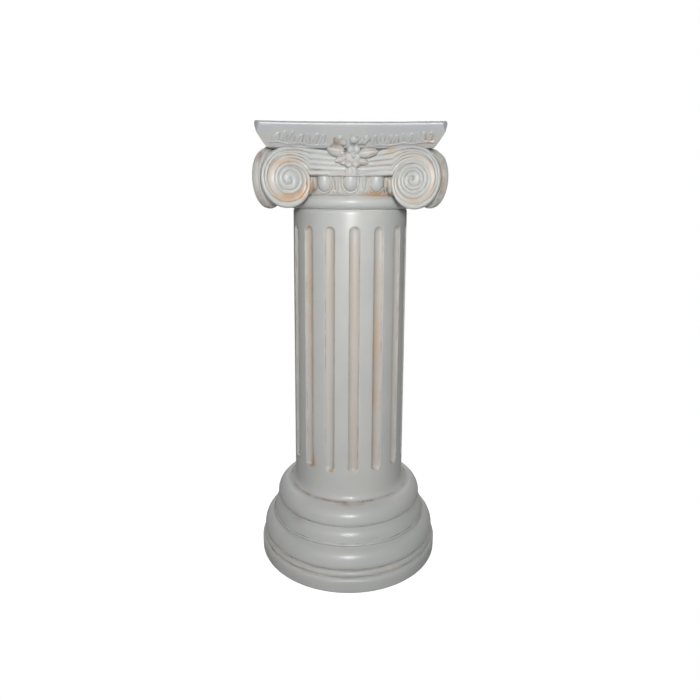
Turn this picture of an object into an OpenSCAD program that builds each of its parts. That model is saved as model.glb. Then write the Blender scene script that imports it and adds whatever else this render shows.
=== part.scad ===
// Column pedestal of the Ionic order: a fluted column on a round moulded base, and a
// four-cornered capital with scrolls turned out at the corners, resting on the column.
// Millimetres, +Z up. The front is toward -Y. The origin is the middle of the underside.
// The shaft's top radius drives all widths: the base, the capital's neck and the abacus
// are set out from it by the projections below.

/* [Column] */
// Height of the column alone, from the floor to the joint under the capital
column_h = 672; // [520:1:850]
// Radius of the shaft where the capital rests on it
shaft_top_r = 101.5; // [84:0.5:122]
// How much wider the shaft's radius is just above its flared foot
shaft_taper = 5.5; // [1:0.5:8]
// Bevel of the shaft's upper edge
shaft_bevel = 2.5; // [1:0.5:5]
// Radius of the hollow curve by which the shaft spreads onto the base
foot_flare_r = 17; // [12:1:24]

/* [Flutes] */
// Number of flutes around the shaft
flute_count = 15; // [8:1:18]
// Width of a flute where it breaks the surface
flute_w = 19; // [12:0.5:23]
// Depth of a flute below the surface
flute_d = 6; // [3:0.5:8]
// Plain band between the capital and the rounded flute tops
flute_top_margin = 28; // [15:1:60]
// Plain band between the shaft's flare and the rounded flute bottoms
flute_foot_margin = 40; // [15:1:60]
// How far the nearest flute is turned from the front
flute_turn = 4.5; // [-12:0.5:12]

/* [Base: how far each moulding stands out past the shaft's foot] */
// Plinth, the lowest drum
plinth_out = 70; // [67:0.5:90]
// Small bead on the plinth, at its widest
bead_out = 66; // [62:0.5:68]
// Lower torus at its widest
lower_torus_out = 64; // [59:0.5:66]
// Thin edge that stands on the lower torus
step_out = 46; // [41:0.5:51]
// Rounded band where it passes under the upper torus
band_top_out = 27.5; // [21:0.5:31]
// Upper torus at its widest
upper_torus_out = 35.5; // [31:0.5:40]

/* [Base: heights and roundings] */
// Height of the plinth up to its groove
plinth_h = 28; // [20:1:45]
// Rounding of the plinth's upper edge
plinth_edge_r = 7; // [2:0.5:9]
// Rounding of the plinth's lower edge
plinth_foot_r = 1.5; // [0.5:0.5:5]
// Height of the small bead
bead_h = 12; // [8:0.5:14]
// Height of the lower torus
lower_torus_h = 39; // [30:1:48]
// Rounding of the lower torus on its underside
lower_torus_low_r = 8.5; // [4:0.5:14]
// Height of the thin edge
step_h = 4; // [2:0.5:7]
// Height of the rounded band between the thin edge and the upper torus
band_h = 26; // [20:1:34]
// Height of the upper torus
upper_torus_h = 36.5; // [30:0.5:44]
// Rounding of the upper torus on its underside
upper_torus_low_r = 9.5; // [4:0.5:14]

/* [Capital neck and egg moulding] */
// How far the capital's seat stands out past the shaft's top
seat_overhang = 2.5; // [1:0.5:6]
// Height of the neck ring
ring_h = 21; // [16:1:26]
// How far the neck ring bulges past the seat
ring_out = 5.5; // [3:0.5:8]
// Height of the egg moulding
echinus_h = 29; // [24:1:34]
// How far the foot of the egg moulding stands out past the seat
echinus_foot_out = 2; // [1:0.5:4]
// How much the egg moulding spreads from its foot to its top
echinus_spread = 10; // [6:0.5:14]
// Egg places around the whole moulding; those behind the scrolls are left out
egg_count = 16; // [12:4:16]
// Width of an egg
egg_w = 23; // [14:0.5:26]
// How far an egg stands out of the moulding at its top
egg_out = 5; // [3:0.5:8]
// Height of the thin band that closes the eggs above
egg_cap_h = 5; // [3:0.5:8]
// How far that band stands out past the eggs
egg_cap_out = 1; // [0.5:0.5:3]

/* [Scrolls] */
// Radius of a scroll from its eye to its rim at the top
scroll_r = 46; // [40:0.5:56]
// How far the eye of a scroll lies below the top of the egg moulding
eye_drop = 5; // [0:0.5:7]
// How far the eye of a scroll lies behind the plain face of the abacus's corners
eye_inset = 9; // [5:0.5:13]
// How far a scroll's rim keeps inside the width of the abacus
scroll_side_gap = 4; // [1:0.5:8]
// Gap between a scroll's rim and the abacus above it
scroll_top_gap = 1; // [0.5:0.5:2]
// How far a scroll's face is turned from its side of the capital
scroll_turn = 23.5; // [18:0.5:28]
// How much the scroll's radius shrinks in one turn
scroll_pitch = 14.5; // [10:0.5:16]
// Width of the raised fillet that runs along the channel
scroll_fillet_w = 4.5; // [3:0.5:6]
// Depth of the sunk channel
scroll_channel_d = 4; // [2:0.5:6]
// Radius of the boss at the eye
eye_r = 6.5; // [4:0.5:8]
// Thickness of a scroll's rim, seen from the corner
rim_t = 11; // [8:0.5:12]
// How far the groove between the two rims of a corner is sunk
rim_groove_d = 5; // [3:0.5:8]
// How far each rim of a corner keeps back from the corner's diagonal
rim_gap = 1.25; // [0.5:0.25:2.5]

/* [Channel band] */
// How far the middle of the hollow band lies behind the eyes of the scrolls
canal_setback = 26; // [22:0.5:32]
// Radius of the hollow curve of the band, in plan
canal_r = 163; // [140:1:220]

/* [Abacus] */
// How far the abacus stands out past the egg moulding, at its corners
abacus_out = 28; // [23:0.5:34]
// Height of the abacus
abacus_h = 36; // [28:1:44]
// Height of the plain face along the abacus's top
fascia_h = 11; // [6:0.5:15]
// How far the middle of a side is set back from its corners
abacus_sag = 12; // [6:0.5:16]
// How far the hollow moulding under the plain face is set back at its foot
abacus_inset = 14; // [8:0.5:18]
// Cut across each corner of the abacus
corner_cut = 14; // [8:0.5:20]

/* [Flower] */
// How far the flower's face stands out past the middle of the abacus's side
flower_out = 1; // [-2:0.5:5]
// Length of the upper leaves
upper_leaf_l = 30; // [22:1:36]
// How far the upper leaves lean to the side
upper_leaf_lean = 38; // [30:1:46]
// Length of the middle leaves
middle_leaf_l = 34; // [24:1:40]
// How far the middle leaves lean to the side
middle_leaf_lean = 74; // [66:1:82]
// Width of a leaf
leaf_w = 15; // [10:0.5:18]
// Radius of a bud
bud_r = 7; // [5:0.5:9]
// Radius of the stem
stem_r = 8; // [5:0.5:10]
// How much wider the calyx is than the stem
calyx_out = 3; // [1:0.5:5]

/* [Hidden] */
$fn = 96;
side_fn = 360; // facets of the wide hollow curve of a side
plaster = [0.80, 0.81, 0.78];
over = 1; // how far a cutter runs past the face that it cuts
side_count = 4; // sides of the capital

// the column's radii
shaft_foot_r = shaft_top_r + shaft_taper;
plinth_r = shaft_foot_r + plinth_out;
bead_r = shaft_foot_r + bead_out;
lower_torus_r = shaft_foot_r + lower_torus_out;
step_r = shaft_foot_r + step_out;
band_top_r = shaft_foot_r + band_top_out;
upper_torus_r = shaft_foot_r + upper_torus_out;

// heights of the base's mouldings
bead_z = plinth_h;
lower_torus_z = bead_z + bead_h;
step_z = lower_torus_z + lower_torus_h;
band_z = step_z + step_h;
upper_torus_z = band_z + band_h;
shaft_z = upper_torus_z + upper_torus_h;
foot_z = shaft_z + foot_flare_r;
flare_trim = 4; // how much of the flare's thin outer edge is left off

// flutes
flute_bottom_z = foot_z + flute_foot_margin;
flute_top_z = column_h - flute_top_margin;
flute_cut_r = (pow(flute_w / 2, 2) + pow(flute_d, 2)) / (2 * flute_d);
shaft_lean = atan(shaft_taper / (column_h - foot_z));

// the neck's and the egg moulding's radii
ring_seat_r = shaft_top_r + seat_overhang;
ring_r = ring_seat_r + ring_out;
echinus_foot_r = ring_seat_r + echinus_foot_out;
echinus_top_r = echinus_foot_r + echinus_spread;
egg_taper = 1 / 3; // an egg's tip radius as a share of its widest radius
egg_lap = 0.1; // how much narrower the egg's cone ends than the ball that closes it

// the abacus in plan; a side's hollow curve has the radius abacus_sag_r
abacus_w = 2 * (echinus_top_r + abacus_out);
abacus_sag_r = (pow(abacus_w / 2, 2) + pow(abacus_sag, 2)) / (2 * abacus_sag);
abacus_mid_d = abacus_w / 2 - abacus_sag;

// heights of the capital's parts: a scroll reaches from its eye up to the abacus
echinus_z = column_h + ring_h;
canal_z = echinus_z + echinus_h;
eye_z = canal_z - eye_drop;
abacus_z = eye_z + scroll_r + scroll_top_gap;
canal_h = abacus_z - canal_z;
top_z = abacus_z + abacus_h;

// places of the scrolls and of the hollow band between them
eye_x = abacus_w / 2 - scroll_r - scroll_side_gap;
eye_d = abacus_w / 2 - eye_inset;
canal_d = eye_d - canal_setback;
spiral_step = 10; // degrees between the points of a spiral
outline_turn = 270; // degrees of the spiral that bound a scroll's outline
side_lap = 0.5; // how far the scroll bodies of neighbouring sides reach into each other

// places of the flower's parts: to the side, behind its face, and above its heart
flower_d = abacus_mid_d + flower_out;
heart_z = abacus_z - bud_r;
upper_leaf_at = [8, 6, 2];
middle_leaf_at = [6, 14, -6];
side_bud_at = [5.6, 8, 0];
top_bud_at = [0, 10, 16.8];
calyx_r = stem_r + calyx_out;
calyx_at = [0, 16, -(bud_r + calyx_r)];
stem_back = 23; // how far the stem lies behind the flower's face
stem_root = 2; // how far the stem reaches down into the egg moulding

// radius of the shaft's surface at height z
function shaft_r_at(z) = shaft_foot_r - shaft_taper * (z - foot_z) / (column_h - foot_z);

// radius of a scroll's line after some degrees of winding
function spiral_r(wound, start_r) = start_r - scroll_pitch * wound / 360;

// point of a scroll's line; it starts at the top and winds down over the outer side
function spiral_at(wound, start_r) =
    spiral_r(wound, start_r) * [sin(wound), cos(wound)];

// ---------------------------------------------------------------- column

// half-round bead of height h whose outermost point is at radius r
module bead_profile(r, h, z) {
    translate([0, z]) square([r - h / 2, h]);
    translate([r - h / 2, z + h / 2]) circle(d = h);
}

// torus of height h, widest at radius r: a small quarter round of radius low_r below,
// and above it a large quarter round that takes up the rest of the height
module torus_profile(r, h, low_r, z) {
    high_r = h - low_r;
    translate([0, z]) square([r - high_r, h]);
    translate([0, z]) square([r - low_r, low_r]);
    translate([r - low_r, z + low_r]) circle(r = low_r);
    translate([0, z + low_r]) intersection() {
        translate([r - high_r, 0]) circle(r = high_r);
        square([r, high_r]);
    }
}

module plinth_profile() {
    straight_h = plinth_h - plinth_edge_r - plinth_foot_r;
    square([plinth_r - plinth_edge_r, plinth_h]);
    square([plinth_r - plinth_foot_r, plinth_h / 2]);
    translate([0, plinth_foot_r]) square([plinth_r, straight_h]);
    translate([plinth_r - plinth_foot_r, plinth_foot_r]) circle(r = plinth_foot_r);
    translate([plinth_r - plinth_edge_r, plinth_h - plinth_edge_r])
        circle(r = plinth_edge_r);
}

// rounded band that swells between its foot at the thin edge and its narrower top
module band_profile() {
    depth = step_r - band_top_r;
    swell_r = (pow(depth, 2) + pow(band_h, 2)) / (2 * depth);
    translate([0, band_z]) intersection() {
        square([step_r, band_h]);
        translate([step_r - swell_r, 0]) circle(r = swell_r);
    }
    // overlap into the torus above, so that the two mouldings are one body
    translate([0, band_z + band_h - over]) square([band_top_r - over, 2 * over]);
}

module shaft_profile() {
    bevel_z = column_h - shaft_bevel;
    flare_r = shaft_foot_r + foot_flare_r;
    difference() {
        translate([0, shaft_z - over]) square([flare_r - flare_trim, foot_flare_r + over]);
        translate([flare_r, foot_z]) circle(r = foot_flare_r);
    }
    polygon([
        [0, foot_z - over],
        [shaft_foot_r, foot_z - over],
        [shaft_foot_r, foot_z],
        [shaft_r_at(bevel_z), bevel_z],
        [shaft_top_r - shaft_bevel, column_h],
        [0, column_h]
    ]);
}

module column_body() {
    rotate_extrude() {
        plinth_profile();
        bead_profile(bead_r, bead_h, bead_z);
        torus_profile(lower_torus_r, lower_torus_h, lower_torus_low_r, lower_torus_z);
        translate([0, step_z]) square([step_r, step_h]);
        band_profile();
        torus_profile(upper_torus_r, upper_torus_h, upper_torus_low_r, upper_torus_z);
        shaft_profile();
    }
}

// cutter of one flute: a leaning rod with round ends
module flute_cutter() {
    low_z = flute_bottom_z + flute_w / 2;
    rod_l = (flute_top_z - flute_w / 2 - low_z) / cos(shaft_lean);
    translate([0, -(shaft_r_at(low_z) + flute_cut_r - flute_d), low_z])
        rotate([-shaft_lean, 0, 0]) {
            cylinder(r = flute_cut_r, h = rod_l);
            sphere(r = flute_cut_r);
            translate([0, 0, rod_l]) sphere(r = flute_cut_r);
        }
}

module column() {
    color(plaster) difference() {
        column_body();
        for (i = [0 : flute_count - 1])
            rotate(flute_turn + i * 360 / flute_count) flute_cutter();
    }
}

// ---------------------------------------------------------------- capital

module neck_ring() {
    bulge_r = ring_h / 2;
    rotate_extrude() {
        translate([0, column_h]) square([ring_seat_r, ring_h + over]);
        intersection() {
            translate([ring_r - bulge_r, column_h + bulge_r]) circle(r = bulge_r);
            translate([0, column_h]) square([ring_r, ring_h]);
        }
    }
}

module echinus() {
    rotate_extrude() polygon([
        [0, echinus_z],
        [echinus_foot_r, echinus_z],
        [echinus_top_r, canal_z],
        [echinus_top_r, canal_z + over],
        [0, canal_z + over]
    ]);
}

// one egg: a ball with a cone that narrows from it to the foot of the moulding
module egg() {
    big_r = egg_w / 2;
    tip_r = big_r * egg_taper;
    ball_z = canal_z - big_r + egg_cap_h / 2;
    translate([0, -(echinus_top_r - big_r + egg_out), 0]) {
        translate([0, 0, ball_z]) sphere(r = big_r);
        translate([0, 0, echinus_z + tip_r])
            cylinder(r1 = tip_r, r2 = big_r - egg_lap, h = ball_z - echinus_z - tip_r);
    }
}

// thin round band that closes the eggs above
module egg_cap() {
    cap_r = echinus_top_r + egg_out + egg_cap_out;
    translate([0, 0, canal_z]) cylinder(r = cap_r, h = egg_cap_h);
}

module eggs() {
    pitch = 360 / egg_count;
    for (i = [0 : egg_count - 1])
        if (abs((i * pitch) % 90 - 45) > pitch / 2)
            rotate(i * pitch) egg();
}

// quarter of the plan that faces the front, pushed out or in by grow
module side_sector(grow) {
    reach = abacus_w;
    translate([0, 0, column_h - reach / 2]) linear_extrude(2 * reach) polygon([
        [0, grow * sqrt(2)],
        [reach, -reach + grow * sqrt(2)],
        [-reach, -reach + grow * sqrt(2)]
    ]);
}

// outline of a scroll with start radius r: three quarters of a turn of its spiral, closed
// by a straight line on the side where the channel band runs in
module scroll_outline(r) {
    polygon([for (a = [0 : spiral_step : outline_turn]) spiral_at(a, r)]);
}

// sunk channel between two turns of the raised fillet
module scroll_channel() {
    last = 360 * (scroll_r - scroll_pitch - eye_r) / scroll_pitch;
    outer_r = scroll_r - scroll_fillet_w;
    inner_r = scroll_r - scroll_pitch;
    polygon(concat(
        [for (a = [0 : spiral_step : last]) spiral_at(a, outer_r)],
        [for (a = [floor(last / spiral_step) * spiral_step : -spiral_step : 0])
            spiral_at(a, inner_r)]
    ));
}

// the scroll at the front right corner, in the plane of its own face
module scroll_frame() {
    translate([eye_x, -eye_d, eye_z]) rotate([90, 0, -scroll_turn]) children();
}

module scroll() {
    back = eye_d;
    intersection() {
        side_sector(-rim_gap);
        scroll_frame() translate([0, 0, -rim_t]) difference() {
            linear_extrude(rim_t) scroll_outline(scroll_r);
            translate([0, 0, rim_t - scroll_channel_d])
                linear_extrude(scroll_channel_d + over) scroll_channel();
        }
    }
    intersection() {
        side_sector(side_lap);
        scroll_frame() translate([0, 0, -back])
            linear_extrude(back - rim_t + over) scroll_outline(scroll_r - rim_groove_d);
    }
    scroll_frame() translate([0, 0, -rim_t]) cylinder(r = eye_r, h = rim_t);
}

module scrolls() {
    for (k = [0 : side_count - 1]) rotate(k * 360 / side_count) {
        scroll();
        mirror([1, 0, 0]) scroll();
    }
}

// hollow-sided block that links the scrolls under the abacus
module canal() {
    half = eye_d - rim_t - scroll_channel_d;
    corner_d = half * sqrt(2) - 2 * corner_cut;
    difference() {
        translate([-half, -half, canal_z]) cube([2 * half, 2 * half, canal_h + over]);
        for (k = [0 : side_count - 1]) rotate(k * 360 / side_count) {
            translate([0, -(canal_d + canal_r), canal_z - over])
                cylinder(r = canal_r, h = canal_h + 3 * over);
            corner_prism(corner_d, canal_z - over, top_z);
        }
    }
}

// everything farther out along one diagonal than d, between two heights
module corner_prism(d, low, high) {
    rotate(45) translate([d, -abacus_w / 2, low]) cube([abacus_w, abacus_w, high - low]);
}

// what is cut from a side, by its distance from the side's plain face:
// nothing along the plain face, then a hollow that deepens to abacus_inset at the foot
module side_cut_profile(face) {
    hollow_h = abacus_h - fascia_h;
    hollow_r = (pow(abacus_inset, 2) + pow(hollow_h, 2)) / (2 * abacus_inset);
    translate([face - abacus_inset, abacus_z - over])
        square([abacus_inset, abacus_h + 2 * over]);
    intersection() {
        translate([face - over, abacus_z - over])
            square([abacus_inset + over, hollow_h + over]);
        translate([face + abacus_inset - hollow_r, abacus_z]) circle(r = hollow_r);
    }
}

module abacus() {
    half = abacus_w / 2;
    diagonal = half * sqrt(2) - corner_cut / sqrt(2);
    difference() {
        translate([-half, -half, abacus_z]) cube([abacus_w, abacus_w, abacus_h]);
        for (k = [0 : side_count - 1]) rotate(k * 360 / side_count) {
            translate([0, -(abacus_mid_d + abacus_sag_r), 0])
                rotate_extrude($fn = side_fn) side_cut_profile(abacus_sag_r);
            corner_prism(diagonal, abacus_z - over, top_z + over);
        }
    }
}

// one pointed leaf lying on its back, its root at the origin and its tip along +Y
module leaf(l, w) {
    edge_r = (pow(l / 2, 2) + pow(w / 2, 2)) / w;
    dome_r = l;
    thick = w / 2;
    intersection() {
        translate([0, l / 2, -thick]) linear_extrude(2 * thick) intersection() {
            translate([edge_r - w / 2, 0]) circle(r = edge_r);
            translate([w / 2 - edge_r, 0]) circle(r = edge_r);
        }
        translate([0, l / 2, thick - dome_r]) sphere(r = dome_r);
    }
}

// puts a part of the flower in its place, on the side s of the flower's middle
module flower_part(place, s = 1) {
    translate([s * place[0], place[1] - flower_d, heart_z + place[2]]) children();
}

// flower over the middle of a side: two pairs of leaves, buds, and a stem down to the egg
module flower() {
    stem_z = canal_z - stem_root;
    for (s = [-1, 1]) {
        flower_part(upper_leaf_at, s)
            rotate([90, 0, 0]) rotate(-s * upper_leaf_lean) leaf(upper_leaf_l, leaf_w);
        flower_part(middle_leaf_at, s)
            rotate([90, 0, 0]) rotate(-s * middle_leaf_lean) leaf(middle_leaf_l, leaf_w);
        flower_part(side_bud_at, s) sphere(r = bud_r);
    }
    flower_part(top_bud_at) sphere(r = bud_r);
    flower_part(calyx_at) sphere(r = calyx_r);
    translate([0, stem_back - flower_d, stem_z])
        cylinder(r = stem_r, h = heart_z + calyx_at[2] - stem_z);
}

module flowers() {
    for (k = [0 : side_count - 1]) rotate(k * 360 / side_count) flower();
}

module capital() {
    color(plaster) union() {
        neck_ring();
        echinus();
        eggs();
        egg_cap();
        scrolls();
        canal();
        abacus();
        flowers();
    }
}

column();
capital();
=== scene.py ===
import bmesh
import bpy
import numpy as np
from bpy.props import FloatProperty, FloatVectorProperty, IntProperty, PointerProperty
from mathutils import Matrix, Vector


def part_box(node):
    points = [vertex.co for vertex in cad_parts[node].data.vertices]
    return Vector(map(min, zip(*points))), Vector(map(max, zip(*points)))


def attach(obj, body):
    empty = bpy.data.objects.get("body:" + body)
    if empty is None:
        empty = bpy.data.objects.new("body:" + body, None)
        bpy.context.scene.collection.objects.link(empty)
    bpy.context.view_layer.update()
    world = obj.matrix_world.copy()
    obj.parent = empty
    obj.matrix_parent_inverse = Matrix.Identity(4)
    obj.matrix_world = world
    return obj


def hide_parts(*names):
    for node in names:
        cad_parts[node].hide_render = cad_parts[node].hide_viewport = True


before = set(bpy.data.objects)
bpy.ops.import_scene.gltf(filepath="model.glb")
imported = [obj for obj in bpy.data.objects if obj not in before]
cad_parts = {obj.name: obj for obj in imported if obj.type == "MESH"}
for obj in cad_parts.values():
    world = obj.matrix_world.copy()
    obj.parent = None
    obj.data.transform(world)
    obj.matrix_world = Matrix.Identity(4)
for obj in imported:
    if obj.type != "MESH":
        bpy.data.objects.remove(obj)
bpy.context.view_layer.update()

bl_info = {
    "name": "Ionic Column Pedestal",
    "version": (1, 0, 0),
    "blender": (4, 5, 0),
    "location": "View3D > Sidebar > Pedestal",
    "description": "Glazed surfaces of a fluted column pedestal, built around its frame",
    "category": "Add Mesh",
}

MM = 0.001
SEAM_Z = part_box("column")[1].z
TOP_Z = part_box("capital")[1].z
SIDES = 4
LEFTWARD = np.array([-1, 1, 1])
WHITE = (1, 1, 1, 1)
GLAZE = "antique_glaze"
# Name, place, the height on the axis that it points at, width in metres, power in watts
LAMPS = (
    ("key_lamp", (0.02, -1.16, 0.83), 0.5, 0.12, 9.4),
    ("left_fill", (-1.5, -1.9, 1.5), 0.4, 1.4, 3.0),
    ("right_fill", (1.7, -1.7, 1.3), 0.4, 1.4, 0.8),
    ("back_left", (-0.7, 1.9, 2.0), 0.4, 1.2, 22.0),
    ("back_right", (0.7, 1.9, 2.0), 0.4, 1.2, 22.0),
)
# Pitch, yaw and roll in degrees
CAMERA_TURN = (15.11, -0.26, 0.28)
CAMERA_PLACE = (0, -1.0128, 0.6816)
CAMERA_LENS = 28.02
CAMERA_SHIFT = 0.0044


# ------------------------------------------------------------------ settings


def length(name, description, millimetres):
    """A size that is shown as a length; its default is given in millimetres."""
    return FloatProperty(name=name, description=description, default=millimetres * MM, unit="LENGTH")


def angle(name, description, degrees):
    """A size that is shown as an angle; its default is given in degrees."""
    return FloatProperty(name=name, description=description, default=np.radians(degrees), subtype="ANGLE")


def whole(name, description, default, low, high):
    """A number of like parts."""
    return IntProperty(name=name, description=description, default=default, min=low, max=high)


def share(name, description, default):
    """A strength between 0 and 1."""
    return FloatProperty(name=name, description=description, default=default, min=0, max=1, subtype="FACTOR")


def colour(name, description, default):
    """A colour of the finish."""
    return FloatVectorProperty(name=name, description=description, default=default, size=3, subtype="COLOR")


class ColumnSizes(bpy.types.PropertyGroup):
    shaft_top_r: length("Shaft radius", "Radius of the shaft under the capital", 101.5)
    shaft_taper: length("Shaft taper", "How much wider the shaft's radius is at its foot", 5.5)
    shaft_bevel: length("Upper edge", "Bevel of the shaft's upper edge", 2.5)
    foot_flare_r: length("Flare", "Radius of the hollow curve at the shaft's foot", 17)
    flute_count: whole("Flutes", "Flutes around the shaft", 15, 8, 18)
    flute_w: length("Flute width", "Width of a flute where it breaks the surface", 19)
    flute_d: length("Flute depth", "Depth of a flute", 6)
    flute_top_margin: length("Upper margin", "Plain band over the flutes", 28)
    flute_foot_margin: length("Lower margin", "Plain band between the flare and the flutes", 40)
    flute_turn: angle("Flute turn", "How far the nearest flute is turned from the front", 4.5)
    plinth_out: length("Plinth", "How far the plinth stands out past the shaft's foot", 70)
    bead_out: length("Bead", "How far the bead stands out past the shaft's foot", 66)
    lower_torus_out: length("Lower torus", "How far the lower torus stands out", 64)
    step_out: length("Thin edge", "How far the thin edge stands out", 46)
    band_top_out: length("Band", "How far the band's top stands out", 27.5)
    upper_torus_out: length("Upper torus", "How far the upper torus stands out", 35.5)
    plinth_h: length("Plinth height", "Height of the plinth", 28)
    plinth_edge_r: length("Plinth edge", "Rounding of the plinth's upper edge", 7)
    plinth_foot_r: length("Plinth foot", "Rounding of the plinth's lower edge", 1.5)
    bead_h: length("Bead height", "Height of the bead", 12)
    lower_torus_h: length("Lower torus height", "Height of the lower torus", 39)
    lower_torus_low_r: length("Lower torus underside", "Rounding of its underside", 8.5)
    step_h: length("Thin edge height", "Height of the thin edge", 4)
    step_groove: length("Thin edge groove", "How far the groove over the thin edge is sunk", 2.6)
    band_h: length("Band height", "Height of the rounded band", 26)
    upper_torus_h: length("Upper torus height", "Height of the upper torus", 36.5)
    upper_torus_low_r: length("Upper torus underside", "Rounding of its underside", 9.5)


class CapitalSizes(bpy.types.PropertyGroup):
    seat_r: length("Seat radius", "Radius of the capital's seat on the shaft", 104)
    ring_h: length("Ring height", "Height of the neck ring", 21)
    ring_out: length("Ring bulge", "How far the neck ring bulges", 5.5)
    echinus_h: length("Egg moulding height", "Height of the egg moulding", 29)
    echinus_foot_r: length("Egg moulding foot", "Radius of the egg moulding at its foot", 107.5)
    echinus_top_r: length("Egg moulding top", "Radius of the egg moulding at its top", 114)
    egg_count: whole("Eggs", "Egg places around the moulding", 16, 8, 24)
    egg_w: length("Egg width", "Width of an egg", 22.6)
    egg_out: length("Egg height", "How far an egg stands out", 8.2)
    cap_h: length("Cap height", "Height of the thin band over the eggs", 5)
    cap_r: length("Cap radius", "Radius of the thin band over the eggs", 122)
    abacus_h: length("Abacus height", "Height of the abacus", 36)
    fascia_h: length("Plain face", "Height of the plain face at the abacus's top", 11)
    edge_r: length("Upper edge", "Rounding of the abacus's upper edge", 3.6)
    abacus_w: length("Abacus width", "Width of the abacus across its corners", 293.5)
    abacus_sag: length("Side hollow", "How far a side's middle is set back", 12)
    abacus_inset: length("Abacus foot", "How far the abacus's foot is set back", 15)
    corner_cut: length("Corner cut", "Cut across each corner of the abacus", 11)
    eye_drop: length("Eye drop", "How far the scroll's eye lies below the top of the eggs", 5)
    eye_d: length("Eye distance", "Distance of the scroll's eye from the axis", 134)
    scroll_turn: angle("Scroll turn", "How far a scroll's face is turned", 23.5)
    band_d: length("Band distance", "Distance of the band's middle from the axis", 115.5)
    rim_t: length("Rim thickness", "Thickness of a scroll's rim", 11)
    rim_groove_d: length("Rim groove", "How far the groove between two rims is sunk", 5)
    flower_d: length("Flower distance", "Distance of the flower's face from the axis", 133)


class GlazeLook(bpy.types.PropertyGroup):
    glaze: colour("Glaze", "Pale colour of the glaze", (0.60, 0.605, 0.585))
    cool: colour("Cool tint", "Faint cool cloud in the glaze", (0.535, 0.56, 0.555))
    wash: colour("Wash", "Warm wash that lies in flutes and channels", (0.575, 0.485, 0.40))
    # painted shade: a darker, cooler colour laid over the top of the capital, darkening the abacus that the
    # lamps light brightly
    painted_shade_high: colour("Abacus painted shade", "Painted shade: a darker, cooler colour high on the capital", (0.435, 0.455, 0.462))
    ochre: colour("Ochre", "Orange patches of patina", (0.60, 0.33, 0.14))
    # the patina colour also paints the shade lines on the flute walls and the shade under the base's tori
    patina: colour("Patina", "Brown patina in the creases", (0.27, 0.165, 0.085))
    wash_strength: share("Wash strength", "How much of the wash shows", 0.68)
    patina_strength: share("Patina strength", "How much of the patina shows", 0.75)
    gloss_roughness: share("Roughness", "Roughness of the glaze", 0.30)


# ------------------------------------------------------------------ paths and grids


def arc(centre, radius, start, end, count=40):
    """Points on a circle round centre, from one angle to another in degrees."""
    turn = np.radians(np.linspace(start, end, count))
    return np.stack([centre[0] + radius * np.cos(turn), centre[1] + radius * np.sin(turn)], -1)


def even_steps(path, step):
    """The same path with points at even steps along its length."""
    along = np.concatenate([[0], np.cumsum(np.linalg.norm(np.diff(path, axis=0), axis=1))])
    wanted = np.linspace(0, along[-1], int(along[-1] / step) + 2)
    return np.stack([np.interp(wanted, along, path[:, i]) for i in range(path.shape[1])], -1)


def soften(path, reach, step=0.25 * MM):
    """Rounds a path's corners: each point becomes the bell-weighted mean of its neighbours."""
    dense = even_steps(path, step)
    half = int(3 * reach / step)
    bell = np.exp(-0.5 * (np.arange(-half, half + 1) * step / reach) ** 2)
    padded = np.concatenate([np.repeat(dense[:1], half, 0), dense, np.repeat(dense[-1:], half, 0)])
    return np.stack([np.convolve(padded[:, i], bell / bell.sum(), "valid") for i in range(2)], -1)


def spread(path, count, bend_share=0.6, weight=None):
    """Picks count points of a dense path, closer where it bends: each step takes an equal part
    of the path's length, times its weight, and of its bending together."""
    step = np.diff(path, axis=0)
    heading = np.unwrap(np.arctan2(step[:, 1], step[:, 0]))
    bend = np.abs(np.gradient(heading))
    size = np.linalg.norm(step, axis=1) * (1 if weight is None else weight(path[1:]))
    cost = (1 - bend_share) * size / size.sum() + bend_share * bend / bend.sum()
    total = np.concatenate([[0], np.cumsum(cost)])
    pick = np.interp(np.linspace(0, total[-1], count), total, np.arange(len(path)))
    return np.stack([np.interp(pick, np.arange(len(path)), path[:, i]) for i in range(2)], -1)


def smooth_line(values, at):
    """A curve through evenly spaced values: a cubic between each two, whose slope at a value
    is taken from its two neighbours."""
    values = np.asarray(values, float)
    slope = np.gradient(values)
    k = np.clip(np.floor(at).astype(int), 0, len(values) - 2)
    t = np.clip(at - k, 0, 1)
    ease = 3 * t**2 - 2 * t**3
    steep = slope[k] * (t**3 - 2 * t**2 + t) + slope[k + 1] * (t**3 - t**2)
    return values[k] * (1 - ease) + values[k + 1] * ease + steep


def smooth_step(value, low, high):
    """0 below low, 1 above high, and an even S curve between them."""
    t = np.clip((value - low) / (high - low), 0, 1)
    return t * t * (3 - 2 * t)


def soft_max(a, b, blend):
    """The larger of two heights, with a rounded meeting line of width blend."""
    return 0.5 * (a + b + np.sqrt((a - b) ** 2 + blend**2))


def bump(distance, half_width):
    """Cross-section of a half-round ridge: 1 on its middle line, 0 at half_width and past it."""
    return np.sqrt(np.maximum(0, 1 - (distance / half_width) ** 2))


def carried_round(profile, turn):
    """Radius and height of a profile at each of the angles, as two grids."""
    return np.repeat(profile[:, :1], len(turn), 1), np.repeat(profile[:, 1:], len(turn), 1)


def round_axis(radius, turn, height):
    """Points at a distance from the axis, turned from the front by an angle, at a height."""
    return np.stack([radius * np.sin(turn), -radius * np.cos(turn), height], -1)


def turn_about_axis(points, quarter):
    """Points turned by a number of quarter turns round the vertical axis."""
    c, s = ((1, 0), (0, 1), (-1, 0), (0, -1))[quarter % SIDES]
    x, y = points[..., 0], points[..., 1]
    return np.stack([c * x - s * y, s * x + c * y, points[..., 2]], -1)


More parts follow.
